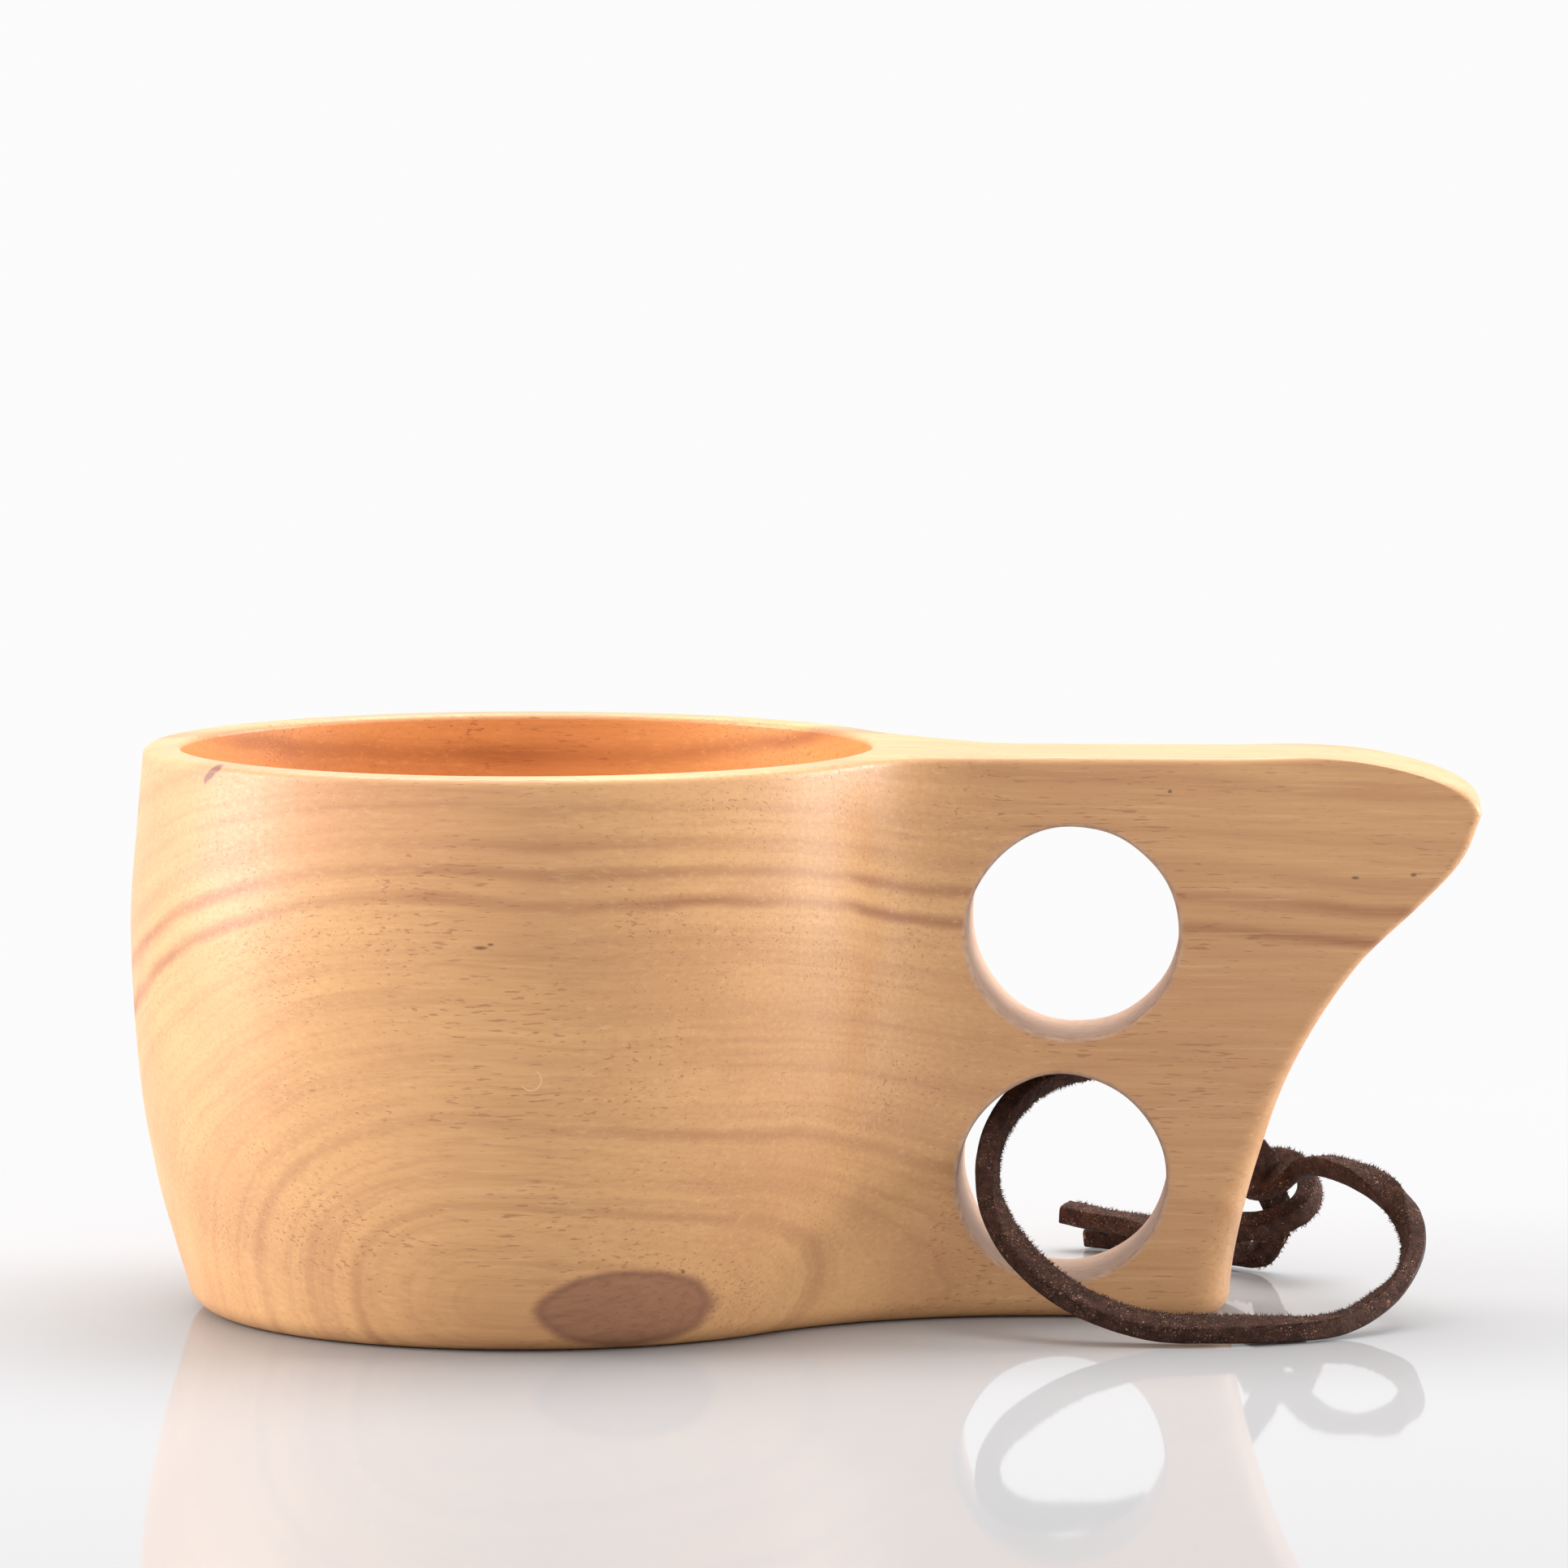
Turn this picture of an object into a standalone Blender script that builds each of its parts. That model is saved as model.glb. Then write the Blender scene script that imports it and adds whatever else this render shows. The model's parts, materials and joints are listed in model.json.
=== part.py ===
"""Kuksa: a one-piece carved wooden cup with a two-hole wing handle and a tied leather wrist lace.

Frame: the origin is on the base plane at the bowl's axis, +X runs towards the handle's tip,
+Y away from the front face and +Z up. Every length is in metres.
"""
import math

import bmesh
import bpy
from mathutils import Matrix, Vector

# Cup: overall sizes
HEIGHT = 0.0698                 # base plane to rim
HANDLE_HALF_THICKNESS = 0.00975
FOOT_ROUNDING = 0.0026          # soft edge between the base plane and the sides
TOP_ROUNDING = 0.0010           # eased edge between the top face and the sides
# Bowl radius against height, without the eased edges
BOWL_PROFILE = [
    (0.0000, 0.0411), (0.0041, 0.0424), (0.0081, 0.0436), (0.0162, 0.0458),
    (0.0284, 0.0479), (0.0477, 0.0490), (0.0609, 0.0481), (0.0698, 0.0473),
]
# Radius of the hollow blend between bowl and handle, at the base and at BLEND_TOP and above
BLEND_RADIUS_BASE = 0.044
BLEND_RADIUS_TOP = 0.023
BLEND_TOP = 0.051
# Rear edge of the handle against height: a straight heel, then a wing that flares to the tip
REAR_EDGE = [
    (0.0000, 0.0869), (0.0081, 0.0878), (0.0193, 0.0905), (0.0314, 0.0949),
    (0.0436, 0.1026), (0.0517, 0.1108), (0.0568, 0.1154), (0.0624, 0.1178),
]
TIP_HEIGHT, TIP_X = REAR_EDGE[-1]
NOSE_START_X = 0.091            # the top face starts to curve down to the tip here
# Plan rounding of the rear edge against height
REAR_ROUNDING = [(0.0000, 0.0062), (0.0140, 0.0046), (0.0300, 0.0026), (0.0460, 0.0016), (0.0698, 0.0014)]

# Bowl hollow
MOUTH_RADIUS = 0.04275
FLOOR_THICKNESS = 0.008
HOLLOW_PROFILE = [
    (0.0698, 0.04275), (0.0568, 0.0431), (0.0426, 0.0427), (0.0304, 0.0413), (0.0223, 0.0392),
]
HOLLOW_CORNER_STEPS = 6
MOUTH_CHAMFER = 0.0006

# Finger holes, along Y: (x, z) of each centre
UPPER_HOLE = (0.0679, 0.0477)
LOWER_HOLE = (0.0666, 0.0174)
UPPER_HOLE_RADIUS = 0.0130
LOWER_HOLE_RADIUS = 0.01275
HOLE_SIDES = 56
HOLE_CUTTER_LENGTH = 0.06

# Lace: a 3.4 by 2.4 mm leather thong, here a round tube of about the same section area
LACE_RADIUS = 0.0016
LACE_POINT_SPACING = 0.0048
# The loop's route, from the knot to the right round the heel, along the table, up in front of the
# lower finger hole, back through it and behind the post to the knot again
LOOP_ROUTE = [
    (0.0959, 0.0200, 0.0146), (0.0982, 0.0160, 0.0158), (0.1017, 0.0100, 0.0158),
    (0.1062, 0.0030, 0.0145), (0.1096, -0.0045, 0.0109), (0.1093, -0.0110, 0.0070),
    (0.1056, -0.0178, 0.0038), (0.0994, -0.0243, 0.0021), (0.0925, -0.0285, 0.0017),
    (0.0855, -0.0305, 0.0017), (0.0790, -0.0308, 0.0024), (0.0738, -0.0303, 0.0035),
    (0.0690, -0.0290, 0.0051), (0.0648, -0.0270, 0.0077), (0.0615, -0.0240, 0.0105),
    (0.0590, -0.0207, 0.0138), (0.0577, -0.0165, 0.0174), (0.0578, -0.0110, 0.0211),
    (0.0590, -0.0050, 0.0239), (0.0611, 0.0010, 0.0261), (0.0640, 0.0068, 0.0276),
    (0.0682, 0.0116, 0.0283), (0.0736, 0.0145, 0.0284), (0.0795, 0.0165, 0.0268),
    (0.0850, 0.0185, 0.0232), (0.0890, 0.0206, 0.0185), (0.0913, 0.0222, 0.0150),
]
# Knot: outer form of a two-strand overhand knot
KNOT_CENTRE = (0.0936, 0.0257, 0.0084)
KNOT_AXIS = (-0.30, 0.60, -0.74)
KNOT_HALF_LENGTH = 0.0062
KNOT_HALF_WIDTH = 0.0048
# Tails, from the knot to their cut ends; the lower one lies on the table, the upper one leans on it
UPPER_TAIL_ROUTE = [
    (0.0868, 0.0291, 0.0058), (0.0833, 0.0331, 0.0051), (0.0788, 0.0385, 0.0044), (0.0735, 0.0450, 0.0041),
    (0.0692, 0.0487, 0.0043), (0.0655, 0.0505, 0.0049),
]
LOWER_TAIL_ROUTE = [
    (0.0906, 0.0313, 0.0024), (0.0868, 0.0355, 0.0018), (0.0813, 0.0415, 0.0017), (0.0755, 0.0475, 0.0017),
    (0.0720, 0.0505, 0.0017), (0.0688, 0.0527, 0.0017),
]

WOOD_COLOUR = (0.66, 0.42, 0.22, 1.0)
LEATHER_COLOUR = (0.045, 0.022, 0.016, 1.0)


def clear_scene():
    """Remove every object that is in the file at the start."""
    for scene_object in list(bpy.data.objects):
        bpy.data.objects.remove(scene_object, do_unlink=True)


def new_collection(name):
    """Return a new collection linked to the scene."""
    collection = bpy.data.collections.new(name)
    bpy.context.scene.collection.children.link(collection)
    return collection


def new_material(name, colour, roughness):
    """Return a Principled material with one colour."""
    material = bpy.data.materials.new(name)
    material.use_nodes = True
    shader = material.node_tree.nodes["Principled BSDF"]
    shader.inputs["Base Color"].default_value = colour
    shader.inputs["Roughness"].default_value = roughness
    shader.inputs["Metallic"].default_value = 0.0
    return material


def mesh_object(name, mesh, collection, material=None):
    """Link a mesh as an object, smooth shaded with sharp edges kept."""
    made = bpy.data.objects.new(name, mesh)
    if material is not None:
        mesh.materials.append(material)
    mesh.shade_smooth()
    mesh.set_sharp_from_angle(angle=math.radians(35))
    collection.objects.link(made)
    return made


def slope(points, index):
    """Slope at one point of a (position, value) list, from its neighbours."""
    low = points[max(index - 1, 0)]
    high = points[min(index + 1, len(points) - 1)]
    return (high[1] - low[1]) / (high[0] - low[0])


def read_curve(points, position):
    """Value at a position on the smooth curve through (position, value) points."""
    if position <= points[0][0]:
        return points[0][1]
    for index in range(len(points) - 1):
        start, end = points[index], points[index + 1]
        if position <= end[0]:
            span = end[0] - start[0]
            t = (position - start[0]) / span
            rise = span * slope(points, index) * (t ** 3 - 2 * t ** 2 + t)
            fall = span * slope(points, index + 1) * (t ** 3 - t ** 2)
            return start[1] * (2 * t ** 3 - 3 * t ** 2 + 1) + rise + end[1] * (3 * t ** 2 - 2 * t ** 3) + fall
    return points[-1][1]


def edge_inset(height):
    """How far the sides draw in at a height, for the rounded foot and the eased top edge."""
    if height < FOOT_ROUNDING:
        return FOOT_ROUNDING - math.sqrt(FOOT_ROUNDING ** 2 - (FOOT_ROUNDING - height) ** 2)
    into_top = height - (HEIGHT - TOP_ROUNDING)
    if into_top > 0:
        return TOP_ROUNDING - math.sqrt(max(TOP_ROUNDING ** 2 - into_top ** 2, 0.0))
    return 0.0


def rear_x(height):
    """Where the handle ends at a height: the rear edge below the tip, an elliptical nose above it."""
    if height <= TIP_HEIGHT:
        return read_curve(REAR_EDGE, height)
    climb = min((height - TIP_HEIGHT) / (HEIGHT - TIP_HEIGHT), 1.0)
    return NOSE_START_X + (TIP_X - NOSE_START_X) * math.sqrt(1.0 - climb ** 2)


def arc(centre, radius, start, end, steps):
    """Points along a plan arc between two angles, both ends included."""
    angles = [start + (end - start) * step / steps for step in range(steps + 1)]
    return [(centre[0] + radius * math.cos(a), centre[1] + radius * math.sin(a)) for a in angles]


def half_outline(height):
    """Plan outline on the +Y side at a height, from the back of the bowl to the handle's end."""
    inset = edge_inset(height)
    bowl = read_curve(BOWL_PROFILE, height) - inset
    share = min(height / BLEND_TOP, 1.0)
    blend = BLEND_RADIUS_BASE + (BLEND_RADIUS_TOP - BLEND_RADIUS_BASE) * share + inset
    side = HANDLE_HALF_THICKNESS - inset
    rounding = read_curve(REAR_ROUNDING, height) - inset * 0.8
    end = rear_x(height) - inset
    blend_y = side + blend
    blend_x = math.sqrt((bowl + blend) ** 2 - blend_y ** 2)
    tangent = math.atan2(blend_y, blend_x)
    points = arc((0.0, 0.0), bowl, math.pi, tangent, 27)
    points += arc((blend_x, blend_y), blend, math.pi + tangent, 1.5 * math.pi, 9)[1:]
    points += arc((end - rounding, side - rounding), rounding, math.pi / 2, 0.0, 4)
    return points


def level_heights():
    """Heights of the loft's sections, closer together where the form turns."""
    foot = [FOOT_ROUNDING * (1 - math.cos(math.radians(a))) for a in (0, 30, 60, 90)]
    sides = [0.0055, 0.0095, 0.0145, 0.0200, 0.0260, 0.0320, 0.0380, 0.0435, 0.0480, 0.0520, 0.0560, 0.0595]
    nose_drop = HEIGHT - TIP_HEIGHT
    nose = [TIP_HEIGHT + nose_drop * math.sin(math.radians(a)) for a in (0, 15, 30, 43, 55, 66)]
    top = [HEIGHT - TOP_ROUNDING * (1 - math.sin(math.radians(a))) for a in (15, 45, 90)]
    return foot + sides + nose + top


def cup_blank_mesh():
    """The cup's outside as one closed loft of plan outlines, base to rim."""
    form = bmesh.new()
    rings = []
    for height in level_heights():
        half = half_outline(height)
        full = half + [(x, -y) for x, y in reversed(half[1:])]
        rings.append([form.verts.new((x, y, height)) for x, y in full])
    count = len(rings[0])
    for lower, upper in zip(rings, rings[1:]):
        for index in range(count):
            after = (index + 1) % count
            form.faces.new((lower[index], upper[index], upper[after], lower[after]))
    form.faces.new(rings[0])
    form.faces.new(list(reversed(rings[-1])))
    bmesh.ops.recalc_face_normals(form, faces=form.faces)
    mesh = bpy.data.meshes.new("cup_body")
    form.to_mesh(mesh)
    form.free()
    return mesh


def hollow_outline():
    """Profile of the bowl's hollow as (radius, z), from above the rim down to the floor's centre."""
    above = HEIGHT + 0.006
    points = [(0.0, above), (MOUTH_RADIUS + MOUTH_CHAMFER, above), (MOUTH_RADIUS + MOUTH_CHAMFER, HEIGHT)]
    points.append((MOUTH_RADIUS, HEIGHT - MOUTH_CHAMFER))
    points += [(radius, height) for height, radius in HOLLOW_PROFILE[1:]]
    wall_height, wall_radius = HOLLOW_PROFILE[-1]
    corner = wall_height - FLOOR_THICKNESS
    centre = wall_radius - corner
    for step in range(1, HOLLOW_CORNER_STEPS + 1):
        angle = 0.5 * math.pi * step / HOLLOW_CORNER_STEPS
        points.append((centre + corner * math.cos(angle), wall_height - corner * math.sin(angle)))
    points.append((0.0, FLOOR_THICKNESS))
    return points


def make_hollow_cutter(collection):
    """The bowl's hollow as a turned solid."""
    outline = hollow_outline()
    mesh = bpy.data.meshes.new("hollow_cutter")
    edges = [(index, index + 1) for index in range(len(outline) - 1)]
    mesh.from_pydata([(radius, 0.0, z) for radius, z in outline], edges, [])
    cutter = bpy.data.objects.new("hollow_cutter", mesh)
    collection.objects.link(cutter)
    screw = cutter.modifiers.new("turn", "SCREW")
    screw.axis = "Z"
    screw.angle = 2 * math.pi
    screw.steps = 84
    screw.render_steps = 84
    screw.use_merge_vertices = True
    screw.merge_threshold = 0.00001
    return cutter


def make_hole_cutter(name, centre, radius, collection):
    """A finger hole as a cylinder along Y."""
    form = bmesh.new()
    bmesh.ops.create_cone(
        form, cap_ends=True, segments=HOLE_SIDES, radius1=radius, radius2=radius, depth=HOLE_CUTTER_LENGTH
    )
    mesh = bpy.data.meshes.new(name)
    form.to_mesh(mesh)
    form.free()
    cutter = bpy.data.objects.new(name, mesh)
    cutter.rotation_euler = (math.pi / 2, 0.0, 0.0)
    cutter.location = (centre[0], 0.0, centre[1])
    collection.objects.link(cutter)
    return cutter


def make_cup_body(parts, cutters, material):
    """The carved cup: outer loft, less the bowl's hollow and the two finger holes."""
    body = mesh_object("cup_body", cup_blank_mesh(), parts, material)
    tools = [
        make_hollow_cutter(cutters),
        make_hole_cutter("upper_hole_cutter", UPPER_HOLE, UPPER_HOLE_RADIUS, cutters),
        make_hole_cutter("lower_hole_cutter", LOWER_HOLE, LOWER_HOLE_RADIUS, cutters),
    ]
    for tool in tools:
        tool.hide_render = True
        tool.display_type = "WIRE"
        cut = body.modifiers.new("cut_" + tool.name, "BOOLEAN")
        cut.operation = "DIFFERENCE"
        cut.solver = "EXACT"
        cut.object = tool
    return body


def smooth_route(route, spacing):
    """Evenly spaced points on a centripetal Catmull-Rom curve through the route's points."""
    points = [Vector(point) for point in route]
    padded = [2 * points[0] - points[1]] + points + [2 * points[-1] - points[-2]]
    fine = []
    for index in range(1, len(padded) - 2):
        before, start, end, after = padded[index - 1:index + 3]
        knots = [0.0]
        for left, right in ((before, start), (start, end), (end, after)):
            knots.append(knots[-1] + math.sqrt((right - left).length))
        for step in range(12):
            t = knots[1] + (knots[2] - knots[1]) * step / 12
            first = before.lerp(start, (t - knots[0]) / (knots[1] - knots[0]))
            second = start.lerp(end, (t - knots[1]) / (knots[2] - knots[1]))
            third = end.lerp(after, (t - knots[2]) / (knots[3] - knots[2]))
            left = first.lerp(second, (t - knots[0]) / (knots[2] - knots[0]))
            right = second.lerp(third, (t - knots[1]) / (knots[3] - knots[1]))
            fine.append(left.lerp(right, (t - knots[1]) / (knots[2] - knots[1])))
    fine.append(points[-1])
    lengths = [0.0]
    for left, right in zip(fine, fine[1:]):
        lengths.append(lengths[-1] + (right - left).length)
    count = max(2, round(lengths[-1] / spacing))
    even = []
    cursor = 0
    for step in range(count + 1):
        goal = lengths[-1] * step / count
        while cursor < len(lengths) - 2 and lengths[cursor + 1] < goal:
            cursor += 1
        share = (goal - lengths[cursor]) / (lengths[cursor + 1] - lengths[cursor])
        even.append(fine[cursor].lerp(fine[cursor + 1], min(share, 1.0)))
    return even


def make_lace_run(name, route, pivot, collection, material):
    """A free run of the lace: a round tube with filled caps along a smooth route."""
    points = smooth_route(route, LACE_POINT_SPACING)
    curve = bpy.data.curves.new(name, "CURVE")
    curve.dimensions = "3D"
    curve.bevel_depth = LACE_RADIUS
    curve.bevel_resolution = 2
    curve.use_fill_caps = True
    spline = curve.splines.new("POLY")
    spline.points.add(len(points) - 1)
    for spline_point, place in zip(spline.points, points):
        spline_point.co = (*(place - pivot.location), 1.0)
    curve.materials.append(material)
    run = bpy.data.objects.new(name, curve)
    run.parent = pivot
    collection.objects.link(run)
    return run


def make_knot(pivot, collection, material):
    """The knot's outer form: a lengthened ball along the knot's axis."""
    form = bmesh.new()
    bmesh.ops.create_uvsphere(form, u_segments=20, v_segments=12, radius=1.0)
    stretch = Matrix.Diagonal((KNOT_HALF_WIDTH, KNOT_HALF_WIDTH, KNOT_HALF_LENGTH, 1.0))
    turn = Vector(KNOT_AXIS).normalized().to_track_quat("Z", "Y").to_matrix().to_4x4()
    place = Matrix.Translation(Vector(KNOT_CENTRE) - pivot.location)
    form.transform(place @ turn @ stretch)
    mesh = bpy.data.meshes.new("lace_knot")
    form.to_mesh(mesh)
    form.free()
    knot = mesh_object("lace_knot", mesh, collection, material)
    knot.parent = pivot
    return knot


def main():
    """Build the cup and its lace."""
    clear_scene()
    parts = new_collection("kuksa_cup")
    cutters = new_collection("kuksa_cutters")
    make_cup_body(parts, cutters, new_material("carved_wood", WOOD_COLOUR, 0.5))
    # The lace swings about the lower finger hole's axis
    pivot = bpy.data.objects.new("loop_swing_axis", None)
    pivot.location = (LOWER_HOLE[0], 0.0, LOWER_HOLE[1])
    parts.objects.link(pivot)
    runs = {"lace_loop": LOOP_ROUTE, "lace_tail_upper": UPPER_TAIL_ROUTE, "lace_tail_lower": LOWER_TAIL_ROUTE}
    for name, route in runs.items():
        make_lace_run(name, route, pivot, parts, new_material(name + "_leather", LEATHER_COLOUR, 0.8))
    make_knot(pivot, parts, new_material("lace_knot_leather", LEATHER_COLOUR, 0.8))


main()
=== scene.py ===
"""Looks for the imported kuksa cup: one block of carved wood, one knotted suede lace, floor, light and camera.

Lengths are in metres unless a name says mm. The cup stands on z = 0 with its bowl on the z axis,
the handle runs to +X and the front face looks to -Y.
"""
import json
import math
import random

import bmesh
import bpy
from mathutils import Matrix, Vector, noise

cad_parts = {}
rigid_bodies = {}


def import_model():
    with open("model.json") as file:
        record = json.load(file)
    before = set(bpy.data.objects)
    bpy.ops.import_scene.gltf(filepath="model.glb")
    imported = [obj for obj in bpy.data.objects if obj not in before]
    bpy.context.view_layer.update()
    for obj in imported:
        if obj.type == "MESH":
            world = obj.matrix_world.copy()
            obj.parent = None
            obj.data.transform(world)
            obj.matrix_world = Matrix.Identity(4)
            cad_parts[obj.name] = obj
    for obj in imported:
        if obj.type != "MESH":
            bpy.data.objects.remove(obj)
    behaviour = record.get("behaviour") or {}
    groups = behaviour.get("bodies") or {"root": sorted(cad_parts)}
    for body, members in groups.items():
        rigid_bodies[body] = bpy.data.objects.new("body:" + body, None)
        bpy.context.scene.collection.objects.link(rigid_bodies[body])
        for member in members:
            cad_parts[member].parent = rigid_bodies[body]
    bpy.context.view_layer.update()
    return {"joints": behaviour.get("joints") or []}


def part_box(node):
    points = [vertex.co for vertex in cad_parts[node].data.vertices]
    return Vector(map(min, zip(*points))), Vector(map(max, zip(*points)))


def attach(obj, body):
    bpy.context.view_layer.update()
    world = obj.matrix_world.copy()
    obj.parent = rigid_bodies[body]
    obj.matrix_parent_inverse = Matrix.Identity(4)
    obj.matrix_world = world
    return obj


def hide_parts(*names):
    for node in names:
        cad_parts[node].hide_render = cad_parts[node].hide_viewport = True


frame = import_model()
MM = 0.001

# Camera, at the height of a seated viewer with a long lens
CAMERA_PLACE = (0.0966, -1.1965, 0.1778)
CAMERA_HEADING = (-0.054, 0.9985)
CAMERA_PITCH = math.radians(5.38)
CAMERA_LENS = 223.6

# Cup, from the frame
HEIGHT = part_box("cup_body")[1].z
SWING = frame["joints"][0]
LOWER_HOLE = (SWING["pos_m"][0], SWING["pos_m"][2])
UPPER_HOLE = (LOWER_HOLE[0] + 0.0013, LOWER_HOLE[1] + 0.0303)
UPPER_HOLE_RADIUS = 0.0130
LOWER_HOLE_RADIUS = 0.01275
HOLE_EDGE = 0.0007              # rounding where a hole meets the face
HALF_THICKNESS = 0.00975
FOOT_ROUNDING = 0.0026
TOP_ROUNDING = 0.0010
# (height, size) curves of the carved form, the same as the CAD part's
BOWL_PROFILE = [
    (0.0000, 0.0411), (0.0041, 0.0424), (0.0081, 0.0436), (0.0162, 0.0458),
    (0.0284, 0.0479), (0.0477, 0.0490), (0.0609, 0.0481), (0.0698, 0.0473),
]
REAR_EDGE = [
    (0.0000, 0.0869), (0.0081, 0.0878), (0.0193, 0.0905), (0.0314, 0.0949),
    (0.0436, 0.1026), (0.0517, 0.1108), (0.0568, 0.1154), (0.0624, 0.1178),
]
REAR_ROUNDING = [(0.0000, 0.0062), (0.0140, 0.0046), (0.0300, 0.0026), (0.0460, 0.0016), (0.0698, 0.0014)]
TIP_HEIGHT, TIP_X = REAR_EDGE[-1]
NOSE_START_X = 0.091
BLEND_RADIUS_BASE = 0.044
BLEND_RADIUS_TOP = 0.023
BLEND_TOP = 0.051
HANDLE_DIP = 0.00045            # the handle's top is planed a little lower than the rim
MOUTH_RADIUS = 0.04275
LIP_ROUNDING = 0.0008
FLOOR_THICKNESS = 0.008
HOLLOW_PROFILE = [(0.0223, 0.0392), (0.0304, 0.0413), (0.0426, 0.0427), (0.0568, 0.0431), (0.0698, 0.04275)]

# Lace: a suede thong, oblong in section, with one smooth face
LACE_WIDTH = 0.0034
LACE_THICKNESS = 0.0024
LACE_STEP = 0.0005
TABLE_GAP = 0.0001
# Routes repeated from the CAD part: the loop, and the tails from the knot to their cut ends
LOOP_ROUTE = [
    (0.0959, 0.0200, 0.0146), (0.0982, 0.0160, 0.0158), (0.1017, 0.0100, 0.0158),
    (0.1062, 0.0030, 0.0145), (0.1096, -0.0045, 0.0109), (0.1093, -0.0110, 0.0070),
    (0.1056, -0.0178, 0.0038), (0.0994, -0.0243, 0.0021), (0.0925, -0.0285, 0.0017),
    (0.0855, -0.0305, 0.0017), (0.0790, -0.0308, 0.0024), (0.0738, -0.0303, 0.0035),
    (0.0690, -0.0290, 0.0051), (0.0648, -0.0270, 0.0077), (0.0615, -0.0240, 0.0105),
    (0.0590, -0.0207, 0.0138), (0.0577, -0.0165, 0.0174), (0.0578, -0.0110, 0.0211),
    (0.0590, -0.0050, 0.0239), (0.0611, 0.0010, 0.0261), (0.0640, 0.0068, 0.0276),
    (0.0682, 0.0116, 0.0283), (0.0736, 0.0145, 0.0284), (0.0795, 0.0165, 0.0268),
    (0.0850, 0.0185, 0.0232), (0.0890, 0.0206, 0.0185), (0.0913, 0.0222, 0.0150),
]
UPPER_TAIL_ROUTE = [
    (0.0868, 0.0291, 0.0058), (0.0833, 0.0331, 0.0051), (0.0788, 0.0385, 0.0044), (0.0735, 0.0450, 0.0041),
    (0.0692, 0.0487, 0.0043), (0.0655, 0.0505, 0.0049),
]
LOWER_TAIL_ROUTE = [
    (0.0906, 0.0313, 0.0024), (0.0868, 0.0355, 0.0018), (0.0813, 0.0415, 0.0017), (0.0755, 0.0475, 0.0017),
    (0.0720, 0.0505, 0.0017), (0.0688, 0.0527, 0.0017),
]
# Inside the knot: one end winds once round the other, and the other goes straight down through it
KNOT_WINDING = [
    (0.0936, 0.0212, 0.0134), (0.0912, 0.0226, 0.0123), (0.0892, 0.0256, 0.0122), (0.0900, 0.0290, 0.0133),
    (0.0925, 0.0303, 0.0143), (0.0952, 0.0288, 0.0141), (0.0967, 0.0265, 0.0128), (0.0970, 0.0242, 0.0110),
    (0.0960, 0.0228, 0.0094), (0.0938, 0.0229, 0.0081), (0.0911, 0.0247, 0.0070), (0.0886, 0.0271, 0.0064),
]
KNOT_CORE = [(0.0916, 0.0252, 0.0130), (0.0922, 0.0269, 0.0107), (0.0930, 0.0276, 0.0086),
             (0.0929, 0.0277, 0.0066), (0.0919, 0.0287, 0.0044)]
KNOT_MIDDLE = Vector((0.0928, 0.0262, 0.0105))
# Which way the fuzzy suede face looks, at shares of the way along the loop
SUEDE_FACES = [
    (0.00, (0.00, -0.05, 1.00)), (0.09, (0.00, 0.00, 1.00)), (0.17, (-1.00, 0.00, 0.08)),
    (0.24, (-0.60, -0.45, 0.65)),
    (0.32, (-0.45, -0.45, 0.75)), (0.42, (-0.05, -0.42, 0.90)), (0.52, (0.05, -0.50, 0.85)),
    (0.60, (0.85, -0.35, 0.15)), (0.67, (1.00, -0.08, 0.00)), (0.76, (0.90, -0.10, -0.35)),
    (0.84, (0.20, -0.30, -0.95)), (0.92, (0.30, -0.60, -0.70)), (1.00, (0.60, -0.60, -0.30)),
]


def read_curve(points, position):
    """Value at a position on the smooth curve through (position, value) points."""
    def slope(index):
        low, high = points[max(index - 1, 0)], points[min(index + 1, len(points) - 1)]
        return (high[1] - low[1]) / (high[0] - low[0])

    if position <= points[0][0]:
        return points[0][1]
    for index in range(len(points) - 1):
        start, end = points[index], points[index + 1]
        if position <= end[0]:
            span = end[0] - start[0]
            t = (position - start[0]) / span
            bend = span * (slope(index) * (t ** 3 - 2 * t ** 2 + t) + slope(index + 1) * (t ** 3 - t ** 2))
            return start[1] * (2 * t ** 3 - 3 * t ** 2 + 1) + end[1] * (3 * t ** 2 - 2 * t ** 3) + bend
    return points[-1][1]


def smoothstep(value, low, high):
    """0 below low, 1 above high and a smooth rise between."""
    t = min(max((value - low) / (high - low), 0.0), 1.0)
    return t * t * (3 - 2 * t)


def add_object(name, form, materials):
    """A smooth-shaded object from a bmesh."""
    mesh = bpy.data.meshes.new(name)
    form.to_mesh(mesh)
    form.free()
    for material in materials:
        mesh.materials.append(material)
    mesh.shade_smooth()
    made = bpy.data.objects.new(name, mesh)
    bpy.context.scene.collection.objects.link(made)
    return made


# ---------------------------------------------------------------- camera

def make_camera():
    """The photograph's view: slightly from above, square to the cup's front."""
    data = bpy.data.cameras.new("camera")
    data.sensor_width = 36.0
    data.lens = CAMERA_LENS
    data.clip_end = 10.0
    camera = bpy.data.objects.new("camera", data)
    heading = Vector((*CAMERA_HEADING, 0.0)).normalized()
    direction = heading * math.cos(CAMERA_PITCH) - Vector((0.0, 0.0, math.sin(CAMERA_PITCH)))
    camera.location = CAMERA_PLACE
    camera.rotation_mode = "QUATERNION"
    camera.rotation_quaternion = direction.to_track_quat("-Z", "Y")
    bpy.context.scene.collection.objects.link(camera)
    bpy.context.scene.camera = camera


make_camera()


# ---------------------------------------------------------------- materials

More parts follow.
